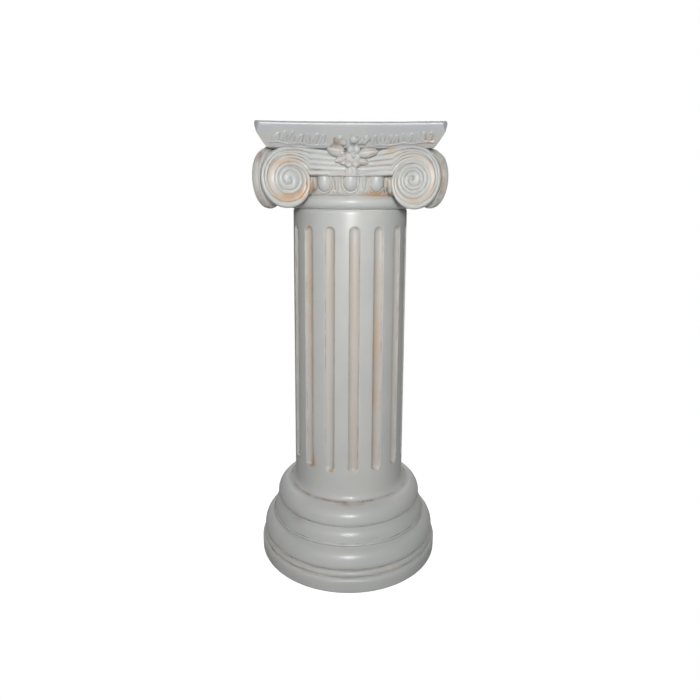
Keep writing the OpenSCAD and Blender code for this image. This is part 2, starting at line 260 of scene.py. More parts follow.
def blurred(grid, steps, wrap):
    """A grid after some rounds in which each point becomes the mean of itself and its neighbours."""
    for _ in range(steps):
        grid = np.concatenate([grid[:1], (grid[:-2] + 2 * grid[1:-1] + grid[2:]) / 4, grid[-1:]])
        if wrap:
            grid = (np.roll(grid, 1, 1) + 2 * grid + np.roll(grid, -1, 1)) / 4
        else:
            middle = (grid[:, :-2] + 2 * grid[:, 1:-1] + grid[:, 2:]) / 4
            grid = np.concatenate([grid[:, :1], middle, grid[:, -1:]], 1)
    return grid


def grid_normals(points, wrap):
    """Outward normals of a grid: the cross product of its steps along a row and up a column."""
    if wrap:
        across = np.roll(points, -1, 1) - np.roll(points, 1, 1)
    else:
        across = np.gradient(points, axis=1)
    normal = np.cross(across, np.gradient(points, axis=0))
    return normal / np.maximum(np.linalg.norm(normal, axis=-1, keepdims=True), 1e-12)


def hollow_depth(points, wrap, steps, full):
    """How deep each point lies under the mean of its surroundings, as a share of full."""
    sunk = ((blurred(points, steps, wrap) - points) * grid_normals(points, wrap)).sum(-1)
    return np.clip(sunk / full, 0, 1)


# patches of patina: centre and reach on each axis in millimetres, then strength
ORANGE_SPOTS = (
    (45, -101, 696, 25, 20, 4.2, 1.0), (-97, -136, 690, 19, 20, 6.5, 0.95), (-76, -128, 694, 9, 12, 9, 0.9),
    (-62, -116, 704, 7, 12, 15, 0.9), (-100, -138, 741, 20, 20, 5, 0.5), (98, -140, 687, 20, 20, 4.5, 0.55),
    (-66, -84, 210, 5, 16, 7, 1.0), (-33, -102, 205, 6, 14, 4, 0.9),
    (-68, -74, 500, 7, 16, 150, 0.5), (46, -92, 400, 7, 16, 190, 0.6),
    (62, -128, 760, 8, 12, 7, 0.6), (118, -136, 775, 8, 12, 8, 0.45), (4, -132, 741, 12, 10, 5, 0.3),
)
BROWN_SPOTS = (
    (-90, -95, 108, 17, 22, 11, 0.36), (40, -146, 88, 26, 20, 2.4, 0.35),
    (-57, -120, 731, 12, 12, 1.9, 0.9), (15, -126, 737, 7, 10, 3, 0.8), (6, -120, 146, 24, 14, 2, 0.8),
    (-64, -118, 697, 3, 10, 9, 0.5), (55, -114, 697, 8, 12, 2, 0.5),
)


def spots_at(points, spots):
    """Strength of the patches at each point: the strongest of bell-shaped ellipsoids."""
    strength = np.zeros(len(points))
    for *place, amount in spots:
        off = (points - np.array(place[:3]) * MM) / (np.array(place[3:]) * MM)
        strength = np.maximum(strength, amount * np.exp(-((off**2).sum(-1) ** 1.5)))
    return strength


class Surface:
    """Grids of points that are gathered into one mesh, with their hollows, wash and stains."""

    def __init__(self):
        self.points = []
        self.faces = []
        self.hollows = []
        self.washes = []
        self.count = 0

    def add(self, points, wash=0.0, wrap=False, steps=10, full=0.5 * MM, hollow=None):
        """Adds a grid, rows by columns, whose faces point along row step x column step.
        With wrap its last column joins the first one."""
        rows, cols = points.shape[:2]
        index = np.arange(rows * cols).reshape(rows, cols) + self.count
        if wrap:
            index = np.hstack([index, index[:, :1]])
        quads = np.stack([index[:-1, :-1], index[:-1, 1:], index[1:, 1:], index[1:, :-1]], -1)
        if hollow is None:
            hollow = hollow_depth(points, wrap, steps, full)
        self.points.append(points.reshape(-1, 3))
        self.faces.append(quads.reshape(-1, 4))
        self.hollows.append(np.broadcast_to(hollow, (rows, cols)).ravel())
        self.washes.append(np.broadcast_to(wash, (rows, cols)).ravel())
        self.count += rows * cols

    def build(self, name, material, node, slot):
        """Makes the object, closes its seams and poles, and ties it to the frame."""
        points = np.concatenate(self.points)
        faces = np.concatenate(self.faces)
        mesh = bpy.data.meshes.new(name)
        mesh.vertices.add(len(points))
        mesh.vertices.foreach_set("co", points.astype(np.float32).ravel())
        mesh.loops.add(faces.size)
        mesh.loops.foreach_set("vertex_index", faces.astype(np.int32).ravel())
        mesh.polygons.add(len(faces))
        mesh.polygons.foreach_set("loop_start", np.arange(0, faces.size, 4, dtype=np.int32))
        layers = {"hollow": np.concatenate(self.hollows), "wash": np.concatenate(self.washes),
                  "orange": spots_at(points, ORANGE_SPOTS), "brown": spots_at(points, BROWN_SPOTS)}
        for title, values in layers.items():
            layer = mesh.attributes.new(title, "FLOAT", "POINT")
            layer.data.foreach_set("value", values.astype(np.float32))
        mesh.update(calc_edges=True)
        welded = bmesh.new()
        welded.from_mesh(mesh)
        bmesh.ops.remove_doubles(welded, verts=welded.verts, dist=0.002 * MM)
        welded.to_mesh(mesh)
        welded.free()
        if mesh.validate():
            raise RuntimeError(f"{name}: its mesh had faulty faces")
        mesh.polygons.foreach_set("use_smooth", np.ones(len(mesh.polygons), dtype=bool))
        mesh.materials.append(material)
        piece = bpy.data.objects.new(name, mesh)
        bpy.context.scene.collection.objects.link(piece)
        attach(piece, "root")
        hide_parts(node)
        return piece


# ------------------------------------------------------------------ column


def base_profile(s):
    """Radius and height of the base, from the axis under it to the top of the flare: the
    plinth, a bead, the lower torus, a thin edge, a swelling band, the upper torus, a flare."""
    foot = s.shaft_top_r + s.shaft_taper
    plinth_r, bead_r = foot + s.plinth_out, foot + s.bead_out
    low_r, step_r = foot + s.lower_torus_out, foot + s.step_out
    band_r, up_r = foot + s.band_top_out, foot + s.upper_torus_out
    bead_z = s.plinth_h
    low_z = bead_z + s.bead_h
    step_z = low_z + s.lower_torus_h
    band_z = step_z + s.step_h
    up_z = band_z + s.band_h
    flare_z = up_z + s.upper_torus_h
    edge, toe, half = s.plinth_edge_r, s.plinth_foot_r, s.bead_h / 2
    low_round, up_round = s.lower_torus_low_r, s.upper_torus_low_r
    low_big, up_big = s.lower_torus_h - low_round, s.upper_torus_h - up_round
    depth = step_r - s.step_groove - band_r
    swell = (depth**2 + s.band_h**2) / (2 * depth)
    swell_end = np.degrees(np.arcsin(s.band_h / swell))
    parts = [
        [(0, 0)],
        arc((plinth_r - toe, toe), toe, -90, 0),
        arc((plinth_r - edge, s.plinth_h - edge), edge, 0, 90),
        arc((bead_r - half, bead_z + half), half, -90, 90),
        arc((low_r - low_round, low_z + low_round), low_round, -90, 0),
        arc((low_r - low_big, low_z + low_round), low_big, 0, 72),
        arc((step_r - s.step_h * 0.6, step_z + s.step_h * 0.6), s.step_h * 0.6, -90, 80),
        arc((step_r - s.step_groove - swell, band_z), swell, 3, swell_end),
        arc((up_r - up_round, up_z + up_round), up_round, -90, 0),
        arc((up_r - up_big, up_z + up_round), up_big, 0, 80),
        arc((foot + s.foot_flare_r, flare_z + s.foot_flare_r), s.foot_flare_r, 256, 180),
    ]
    return np.concatenate([np.asarray(p, float) for p in parts])


def flute_angles(s, per_flute=36):
    """Angles of the columns of the shaft's grid, closer together at the edges of the flutes."""
    pitch = 2 * np.pi / s.flute_count
    half = s.flute_w / 2 / (s.shaft_top_r + s.shaft_taper / 2) / pitch
    t = np.linspace(-0.5, 0.5, 400)
    density = 1 + 2.2 * np.exp(-(((np.abs(t) - half) / 0.05) ** 2))
    total = np.concatenate([[0], np.cumsum(density[1:])])
    one = np.interp(np.linspace(0, total[-1], per_flute, endpoint=False), total, t) * pitch
    return (s.flute_turn + np.arange(s.flute_count)[:, None] * pitch + one[None, :]).ravel()


def flute_depth(turn, height, radius, low, high, s):
    """Depth of the flutes. A flute is sunk by a rod with ball ends whose axis lies outside the
    shaft: the depth is the rod's half-round section less the axis's distance."""
    pitch = 2 * np.pi / s.flute_count
    off = (turn - s.flute_turn + pitch / 2) % pitch - pitch / 2
    rod_r = ((s.flute_w / 2) ** 2 + s.flute_d**2) / (2 * s.flute_d)
    side = radius * np.sin(off)
    beyond = np.maximum(0, np.maximum(low - height, height - high))
    inside = np.sqrt(np.maximum(0, rod_r**2 - side**2 - beyond**2))
    return soft_max(inside - (rod_r - s.flute_d), 0, 0.6 * MM)


def column_surface(s):
    """The column as a profile turned round the axis, with the flutes' depth taken off the
    radius of the shaft."""
    foot = s.shaft_top_r + s.shaft_taper
    base = spread(soften(base_profile(s), 0.55 * MM), 104)
    base[0, 0] = 0
    foot_z = base[-1, 1]
    top_z = SEAM_Z - s.shaft_bevel
    low = foot_z + s.flute_foot_margin + s.flute_w / 2
    high = SEAM_Z - s.flute_top_margin - s.flute_w / 2
    ball = s.flute_w / 2 + 3 * MM
    heights = np.concatenate([
        np.linspace(foot_z, low - ball, 6)[1:],
        np.linspace(low - ball, low, 18)[1:],
        np.linspace(low, high, 12)[1:],
        np.linspace(high, high + ball, 18)[1:],
        np.linspace(high + ball, top_z, 5)[1:],
    ])
    shaft = foot - s.shaft_taper * (heights - foot_z) / (SEAM_Z - foot_z)
    end = shaft[-1]
    edge = np.array([(end - 0.5 * s.shaft_bevel, SEAM_Z - 0.4 * s.shaft_bevel),
                     (end - s.shaft_bevel, SEAM_Z), (end * 0.6, SEAM_Z), (0, SEAM_Z)])
    profile = np.concatenate([base, np.stack([shaft, heights], -1), edge])
    turn = flute_angles(s)
    radius, height = carried_round(profile, turn)
    depth = np.zeros_like(radius)
    rows = slice(len(base), len(base) + len(heights))
    depth[rows] = flute_depth(turn[None, :], height[rows], radius[rows], low, high, s)
    radius = radius - depth
    points = round_axis(radius, turn, height)
    below_flare = 1 - smooth_step(height, foot_z - 15 * MM, foot_z - 11 * MM)
    crease = hollow_depth(points, True, 4, 0.40 * MM) * below_flare
    # patina in the base's creases, widened into broad bands of painted shade under the tori
    broad = hollow_depth(points, True, 9, 0.7 * MM) * (height < foot_z - 22 * MM)
    crease = np.maximum(crease, 0.85 * broad)
    bead_z = s.plinth_h + s.bead_h / 2
    share_d = depth / s.flute_d
    # painted shade: a dark line in the crease colour on both walls of each flute, standing in for the shade
    # on walls that face away from the light
    wall_painted_shade = np.exp(-(((share_d - 0.3) / 0.22) ** 2)) * (share_d > 0.02) * 0.5
    wash = 0.12 * (height > foot_z) + 0.75 * np.clip(share_d * 1.5, 0, 1)
    wash = wash + 0.5 * bump(height - bead_z, 8 * MM)
    surface = Surface()
    surface.add(points, wash=wash, wrap=True, hollow=np.maximum(crease, wall_painted_shade))
    return surface


# ------------------------------------------------------------------ capital


def neck_surface(s):
    """The neck ring and the egg moulding turned round the axis: eggs, the rims of their shells
    and the darts between them are heights added to the radius."""
    ring_top = SEAM_Z + s.ring_h
    cap_z = ring_top + s.echinus_h
    half = s.ring_h / 2
    profile = np.concatenate([
        [(80 * MM, SEAM_Z), (s.seat_r - 1 * MM, SEAM_Z)],
        arc((s.seat_r + s.ring_out - half, SEAM_Z + half), half, -62, 70),
        [(s.echinus_foot_r, ring_top + 2 * MM), (s.echinus_top_r, cap_z)],
        arc((s.cap_r - s.cap_h / 2, cap_z + s.cap_h / 2), s.cap_h / 2, -90, 90),
        [(90 * MM, cap_z + s.cap_h)],
    ])

    def weight(path):
        flat = path[:, 0] < s.seat_r - 6 * MM
        eggs = (path[:, 1] > ring_top + 1 * MM) & (path[:, 1] < cap_z + 1 * MM)
        return np.where(flat, 0.1, np.where(eggs, 2.2, 1))

    profile = spread(soften(profile, 0.8 * MM), 92, 0.12, weight)
    turn = np.linspace(0, 2 * np.pi, 720, endpoint=False)
    radius, height = carried_round(profile, turn)
    pitch = 2 * np.pi / s.egg_count
    off = ((turn + pitch / 2) % pitch - pitch / 2) * s.echinus_top_r
    wide = s.egg_w / 2
    egg_z = cap_z - 12 * MM
    tall = s.echinus_h - 18 * MM
    below = np.maximum(egg_z - height, 0) / tall
    above = np.maximum(height - egg_z, 0) / (1.75 * tall)
    reach = np.sqrt((off / wide) ** 2 + below**2 + above**2)
    egg = s.egg_out * bump(reach, 1)
    shell = np.sqrt((off / wide) ** 2 + below**2)
    rim = 3.0 * MM * bump(shell - 1.17, 0.11)
    dart_x = (off % (pitch * s.echinus_top_r)) - pitch * s.echinus_top_r / 2
    rise = np.clip((height - ring_top - 3 * MM) / s.echinus_h, 0, 1)
    dart = 3.6 * MM * bump(dart_x, 0.9 * MM + 3.6 * MM * rise) * smooth_step(rise, 0, 0.2)
    foot = 2.2 * MM * bump(np.hypot(np.abs(dart_x) - 3.4 * MM, height - ring_top - 6 * MM), 2.8 * MM)
    relief = np.maximum(np.maximum(egg, rim), np.maximum(dart, foot))
    shown = smooth_step(height, ring_top + 0.5 * MM, ring_top + 2.5 * MM) * (height < cap_z + 0.2 * MM)
    relief = relief * shown * (radius < s.cap_r - 1 * MM)
    radius = radius + relief
    points = round_axis(radius, turn, height)
    surface = Surface()
    wash = 0.6 * smooth_step(1.4 * MM - relief, 0, 1.4 * MM) * (height > ring_top - 2 * MM)
    surface.add(points, wash=wash, wrap=True, steps=4, full=0.7 * MM)
    return surface


def leaf_row(x, z, side):
    """Height of the carved leaf row on half a side of the abacus, at distance x from its middle
    and height z over its foot. Each leaf is half an ellipsoid with a sunk vein and a groove
    round it; the row rises outwards along a wavy stem."""
    right = side > 0
    count, first, step = (9, 36.6 * MM, 10.4 * MM) if right else (7, 44 * MM, 11.6 * MM)
    height = np.zeros(np.broadcast(x, z).shape)
    for k in range(count):
        lean = np.radians(74 + 14 * np.sin(2.1 * k) if right else 118 + 16 * np.sin(2.4 * k))
        long = (8.2 + 0.9 * np.sin(1.3 * k)) * MM if right else (9.6 + 1.2 * np.sin(1.9 * k)) * MM
        wide = (4.6 if right else 5.0) * MM
        cx = first + step * k
        cz = ((8.8 if right else 9.5) + 0.7 * k + 0.8 * np.sin(1.7 * k)) * MM
        along = ((x - cx) * np.cos(lean) + (z - cz) * np.sin(lean)) / long
        across = (-(x - cx) * np.sin(lean) + (z - cz) * np.cos(lean)) / (wide * (1 - 0.3 * along))
        reach = np.sqrt(along**2 + across**2)
        body = 1.6 * bump(reach, 1) - 0.8 * np.exp(-((across / 0.24) ** 2)) * smooth_step(1 - reach, 0.1, 0.5)
        groove = -0.9 * np.exp(-(((reach - 1.08) / 0.16) ** 2))
        height = np.where(reach < 1, np.maximum(height, body * MM), np.minimum(height, height + groove * MM))
    stem_z = (2.8 + 0.055 * (x - first) / MM + 0.9 * np.sin(x / (5.5 * MM))) * MM
    to_end = first + step * count - x
    inside = smooth_step(x, first - 10 * MM, first - 4 * MM) * smooth_step(to_end, 0, 6 * MM)
    return np.maximum(height, 1.3 * MM * bump(z - stem_z, 1.7 * MM) * inside)


def abacus_surface(s):
    """The abacus as closed loops, one above another. A loop has four hollow sides, each a
    circle's arc about a far axis, and four flat corners; it shrinks by the profile's inset."""
    far_r = ((s.abacus_w / 2) ** 2 + s.abacus_sag**2) / (2 * s.abacus_sag)
    far_d = s.abacus_w / 2 - s.abacus_sag + far_r
    corner_d = s.abacus_w / 2 * np.sqrt(2) - s.corner_cut / np.sqrt(2)
    foot_z = TOP_Z - s.abacus_h
    level = np.linspace(0, 1, 30)
    edge = arc((s.edge_r, TOP_Z - s.edge_r), s.edge_r, 180, 90, 14)
    face = np.stack([s.abacus_inset * (1 - level) ** 1.3, foot_z + level * (edge[0, 1] - foot_z)], -1)
    under = [(40 * MM, foot_z - 1 * MM), (s.abacus_inset + 1 * MM, foot_z - 1 * MM)]
    profile = np.concatenate([under, face, edge, [(70 * MM, TOP_Z)]])

    def weight(path):
        lid = np.where(path[:, 1] > TOP_Z - 1e-6, 0.05, 1)
        return np.where(path[:, 0] > s.abacus_inset + 2 * MM, 0.04, lid)

    rows = spread(soften(profile, 0.9 * MM), 66, 0.1, weight)
    rows[:, 1] = np.minimum(rows[:, 1], TOP_Z)
    count = 296
    across = np.linspace(-1, 1, count)
    r = far_r + rows[:, 0]
    meet = far_d - (far_d + np.sqrt(np.maximum(0, 2 * r**2 - far_d**2))) / 2
    b = far_d - corner_d * np.sqrt(2)
    cut_end = (-b + np.sqrt(np.maximum(0, 2 * r**2 - b**2))) / 2
    reach_x = np.minimum(np.abs(meet), cut_end)
    x = across[None, :] * reach_x[:, None]
    y = -(far_d - np.sqrt(r[:, None] ** 2 - x**2))
    side = np.stack([x, y, np.repeat(rows[:, 1:], count, 1)], -1)
    corner = np.linspace(0, 1, 10)[1:-1][None, :, None]
    side = np.concatenate([side, side[:, -1:] * (1 - corner) + turn_about_axis(side[:, :1], 1) * corner], 1)
    points = np.concatenate([turn_about_axis(side, k) for k in range(SIDES)], 1)
    for _ in range(3):
        points = (np.roll(points, 1, 1) + 2 * points + np.roll(points, -1, 1)) / 4
    over = rows[:, 1:] - foot_z
    carved = np.where(x > 0, leaf_row(x, over, 1), leaf_row(-x, over, -1))
    carved = carved * ((over > -0.5 * MM) & (over < s.abacus_h - s.fascia_h + 2 * MM))
    carved = np.tile(np.concatenate([carved, np.zeros((len(rows), 8))], 1), (1, SIDES))
    points = points + grid_normals(points, True) * carved[..., None]
    hollow = hollow_depth(points, True, 4, 0.6 * MM)
    low = smooth_step(20 * MM - np.abs(over - 4 * MM), 0, 8 * MM)
    wash = 0.3 * smooth_step(1.0 * MM - carved, 0, 1.0 * MM) * low
    lid = [points[-1:] * np.array([f, f, 1]) for f in (0.5, 0.0)]
    points = np.concatenate([points, *lid])
    rest = np.zeros((2, points.shape[1]))
    surface = Surface()
    surface.add(points, wash=np.concatenate([wash, rest]), wrap=True, hollow=np.concatenate([hollow, rest]))
    return surface


# Place of a scroll's eye across, height of the band at its middle, radii of the scroll's line at
# quarter turns, from its top round by its outer side and inwards to the eye, and half the width
# of its rim at the first five of them, all in millimetres
RIGHT_SCROLL = {
    "eye_x": 95.5, "band_h": 32,
    "radii": (50.0, 43.6, 44.4, 34.6, 29.3, 28.6, 28.4, 25.6, 23.0, 22.6, 21.8, 19.6, 17.6, 16.8,
              15.8, 14.2, 12.2, 11.2, 9.6, 7.4, 4.4, 0.0),
    "rim": (2.7, 2.3, 4.2, 2.4, 2.9),
}
LEFT_SCROLL = {
    "eye_x": 92.5, "band_h": 36,
    "radii": (47.6, 46.0, 43.0, 33.9, 26.4, 25.0, 23.2, 20.8, 18.8, 18.3, 16.8, 14.8, 12.4, 10.4,
              6.4, 0.0),
    "rim": (2.9, 3.2, 4.6, 3.2, 3.6),
}


def line_radius(wound, style):
    """Radius of the scroll's line after some turns; it ends in the eye."""
    return np.maximum(smooth_line(style["radii"], wound * 4), 0) * MM


def face_distance(x, s):
    """Distance from the axis of the sheet on which band and scroll are carved: a cubic curve
    from the middle to about the scroll's eye, and a straight line past it at the scroll's turn."""
    bend_x = 94 * MM
    slope = np.tan(s.scroll_turn)
    t = np.clip(x / bend_x, 0, 1)
    rise = s.eye_d - s.band_d
    curve = s.band_d + rise * (3 * t**2 - 2 * t**3) + slope * bend_x * (t**3 - t**2)
    return np.where(x < bend_x, curve, s.eye_d + slope * (x - bend_x))


def on_face(x, z, lift, s):
    """Points on the sheet of the front's right half, raised by lift along its normal."""
    slope = (face_distance(x + 0.1 * MM, s) - face_distance(x - 0.1 * MM, s)) / (0.2 * MM)
    size = np.sqrt(1 + slope**2)
    return np.stack([x - lift * slope / size, -(face_distance(x, s) + lift / size), z], -1)


def ribbon_lift(across, width, progress, style):
    """Height of the ribbon over the sheet. Five half-round ridges run along the band; the first
    becomes the scroll's rim, the second fades on its shoulder, the others end before it. Past
    the rim lies a sunk channel, which closes after a turn so that each later turn is one round
    ridge, and the last one a dome."""
    turns = (len(style["radii"]) - 1) / 4
    groove = np.interp(progress, [-1, -0.1, 0.9, 1.25], [2.3, 3.8, 3.8, 2.5]) * MM
    inner = np.interp(progress + 1, [0, 0.9, 1.25], [2.3, 3.8, 2.5]) * MM
    inner = np.where(progress < -0.35, groove, inner)
    floor = -(groove + (inner - groove) * across)
    place = across * width
    rim = smooth_line(style["rim"], np.clip(progress, 0, 1) * 4) * MM
    closed = smooth_step(progress, 0.85, 1.3)
    flat = smooth_step(progress, -0.3, 0.0)
    left = (0.1 * width * (1 - flat) + rim * flat) * (1 - closed) + 0.5 * width * closed
    left = left + smooth_step(progress, turns - 1, turns) * 0.5 * width
    right = np.maximum(np.minimum(left, width - left), 1e-6)
    off = place - left
    crest = 0.3 * MM + 1.2 * MM * smooth_step(progress, 1, turns)
    ridge = bump(off, np.where(off < 0, np.maximum(left, 1e-6), right))
    lift = floor + (crest - floor) * ridge
    past = np.clip((place - 2 * left) / np.maximum(width - 2 * left, 1e-6), 0, 1)
    dip = 0.9 * MM * np.sin(np.pi * past) * flat * (1 - closed)
    lift = lift - dip
    size = 0.1 * width * (1 - flat) + 2.2 * MM * flat
    second = bump(place - 2 * left - size, size) * (1 - smooth_step(progress, 0.12, 0.45))
    lift = np.maximum(lift, floor - dip + (0.95 - 0.1 * flat) * groove * second)
    for middle, start, end in ((0.5, -0.05, 0.25), (0.7, -0.2, 0.12), (0.9, -0.42, -0.2)):
        fade = 1 - smooth_step(progress, start, end)
        lift = np.maximum(lift, floor - dip + 0.95 * groove * bump(across - middle, 0.1) * fade)
    return lift, floor


def ribbon_surface(style, mirrored, s):
    """Band and scroll as one ribbon. In the scroll its two edges are neighbouring turns of the
    scroll's line; in the band they are the band's top line and the line from the scroll's
    outer turn down to the eggs. Its relief is a profile across the ribbon, carried along it."""
    eye_x = style["eye_x"] * MM
    cap_z = SEAM_Z + s.ring_h + s.echinus_h
    eye_z = cap_z - s.eye_drop
    cos_turn = np.cos(s.scroll_turn)
    turns = (len(style["radii"]) - 1) / 4
    steps_a_turn = 84
    band_steps = 80
    foot_steps = 56
    shoulder_steps = band_steps + 3
    curl_start = 0.62
    across = np.linspace(0, 1, 37)[:, None]
    # the scroll's turns
    wound = np.linspace(0, turns, int(turns * steps_a_turn) + 1)[None, :]
    outer = line_radius(wound, style)
    inner = np.minimum(line_radius(wound + 1, style), outer)
    radius = outer + (inner - outer) * across
    turn = 2 * np.pi * wound
    scroll_x = eye_x + radius * np.sin(turn) * cos_turn
    scroll_z = eye_z + radius * np.cos(turn)
    # the band, from the middle of the side to the top of the scroll
    t = np.linspace(0, 1, band_steps, endpoint=False)[None, :]
    top_x = eye_x * t
    start_z = cap_z + style["band_h"] * MM
    ease = smooth_step(t, -0.12, 1.0)
    top_z = start_z + (outer[0, 0] + eye_z - start_z) * (ease - ease[0, 0] * (1 - t) ** 2)
    curl = np.clip((t - curl_start) / (1 - curl_start), 0, 1)
    low_turn = 0.74 + 0.26 * curl
    edge_r = line_radius(low_turn, style)
    curl_x = eye_x + edge_r * np.sin(2 * np.pi * low_turn) * cos_turn
    curl_z = eye_z + edge_r * np.cos(2 * np.pi * low_turn)
    flat_x = curl_x[0, 0] * np.clip(t / curl_start, 0, 1)
    blend = smooth_step(t, 0.56, 0.7)
    low_x = flat_x * (1 - blend) + curl_x * blend
    low_z = (cap_z + 1 * MM) * (1 - blend) + np.maximum(curl_z, cap_z + 1 * MM) * blend
    x = np.concatenate([top_x + (low_x - top_x) * across, scroll_x], 1)
    z = np.concatenate([top_z + (low_z - top_z) * across, scroll_z], 1)
    width = np.concatenate([np.hypot(low_x - top_x, low_z - top_z), outer - inner], 1)
    progress = np.concatenate([t - 1, wound], 1)
    lift, floor = ribbon_lift(across, width, progress, style)
    points = on_face(x, z, lift, s)
    sunk = smooth_step(-lift / (3.4 * MM), 0.25, 0.85)
    wash = sunk * (0.5 + 0.5 * smooth_step(progress, -0.5, 0.1))
    surface = Surface()
    points = points[::-1]
    hollow = hollow_depth(points, False, 3, 0.45 * MM)
    columns = slice(None, None, -1 if mirrored else 1)
    surface.add(to_side(points, mirrored), wash=wash[::-1, columns], hollow=hollow[:, columns])
    add_rim(surface, style, mirrored, eye_x, eye_z, s)
    top_edge = [grid[:1, :shoulder_steps] for grid in (x, z, lift)]
    add_roof(surface, *top_edge, mirrored, s)
    low_edge = [grid[-1:, :foot_steps] for grid in (x, z, lift)]
    add_band_foot(surface, *low_edge, mirrored, s)
    return surface


def to_side(points, mirrored):
    """A grid of the right half as it is, or turned over into the left half with its columns in
    reverse order, so that its faces still point outwards."""
    return (points * LEFTWARD)[:, ::-1] if mirrored else points


def add_rim(surface, style, mirrored, eye_x, eye_z, s):
    """The scroll's rim and body: from the scroll's outer line back by the rim's thickness, in
    by the groove, and on along the scroll's normal to the diagonal or into the neck."""
    wound = np.linspace(0, 0.84, 120)[None, :]
    radius = line_radius(wound, style)
    turn = 2 * np.pi * wound
    # how far each row lies behind the front, and how far it is drawn in
    back = np.array([3.8, 5.5, 8.0, s.rim_t / MM - 1, s.rim_t / MM, s.rim_t / MM]) * MM
    tuck = np.array([0.0, -0.4, -0.3, 0.3, 1.6, s.rim_groove_d / MM]) * MM
    ring_r = radius - tuck[:, None]
    x = eye_x + ring_r * np.sin(turn) * np.cos(s.scroll_turn)
    z = eye_z + ring_r * np.cos(turn)
    front = on_face(x, z, -back[:, None] + 0 * turn, s)
    start = front[-1]
    normal = np.array([np.sin(s.scroll_turn), np.cos(s.scroll_turn), 0])
    gap = -start[:, 1] - start[:, 0]
    depth = np.maximum(gap / (normal[0] + normal[1]), 0) + 1.5 * MM
    meet = start + depth[:, None] * normal
    core = start * np.array([0.55, 0.55, 1])
    inward = smooth_step(wound[0], 0.58, 0.70)[:, None]
    goal = meet * (1 - inward) + core * inward
    steps = np.linspace(0, 1, 9)[1:, None, None]
    body = start[None] * (1 - steps) + goal[None] * steps
    points = np.concatenate([front, body])[:, ::-1]
    points = to_side(points, mirrored)
    surface.add(points, steps=3, full=0.9 * MM, wash=0.15)


def add_roof(surface, x, z, lift, mirrored, s):
    """The plain roof over band and scroll, from their top line back and up to the abacus."""
    back = np.linspace(0, 1, 9)[:, None]
    foot_z = TOP_Z - s.abacus_h
    up = np.maximum(foot_z + 0.5 * MM - z, 0) * smooth_step(back, 0, 0.5)
    points = on_face(x + 0 * back, z + up, lift - 26 * MM * back, s)
    points = to_side(points, mirrored)
    surface.add(points, wash=0.2, steps=3, full=0.8 * MM)


def add_band_foot(surface, x, z, lift, mirrored, s):
    """The band's underside, from its lower edge back over the eggs."""
    back = np.linspace(0, 1, 6)[:, None]
    points = on_face(x + 0 * back, z + 0 * back, lift - 16 * MM * back, s)[:, ::-1]
    points = to_side(points, mirrored)
    surface.add(points, wash=0.3, steps=2)


def petal(root, lean, long, wide, thick, curl, lobes=0):
    """One leaf as a closed lens: its outline is a sine along its length, its section an ellipse
    with a sunk vein on the front, and its tip curls forward by curl."""
    u = np.linspace(0, 1, 22)[:, None]
    v = np.linspace(0, 2 * np.pi, 28, endpoint=False)[None, :]
    outline = np.sin(np.pi * u**0.85) ** 0.6 * (1 + 0.12 * np.cos(2 * np.pi * lobes * u) * (lobes > 0))
    across = wide / 2 * outline * np.cos(v)
    front = np.maximum(np.sin(v), 0.35 * np.sin(v))
    vein = 1 - 0.4 * np.exp(-((np.cos(v) / 0.22) ** 2)) * (np.sin(v) > 0)
    lift = thick * outline * front * vein + curl * u**2
    along = long * u + 0 * v
    x = root[0] + along * np.sin(lean) + across * np.cos(lean)
    z = root[2] + along * np.cos(lean) - across * np.sin(lean)
    return np.stack([x, -(root[1] + lift), z], -1)


def bulb(centre, radii):
    """A bud as an ellipsoid: circles of latitude between two poles."""
    up = np.linspace(-np.pi / 2, np.pi / 2, 18)[:, None]
    turn = np.linspace(0, 2 * np.pi, 30, endpoint=False)[None, :]
    x = centre[0] + radii[0] * np.cos(up) * np.sin(turn)
    y = -centre[1] - radii[1] * np.cos(up) * np.cos(turn)
    return np.stack([x, y, centre[2] + radii[2] * np.sin(up) + 0 * turn], -1)


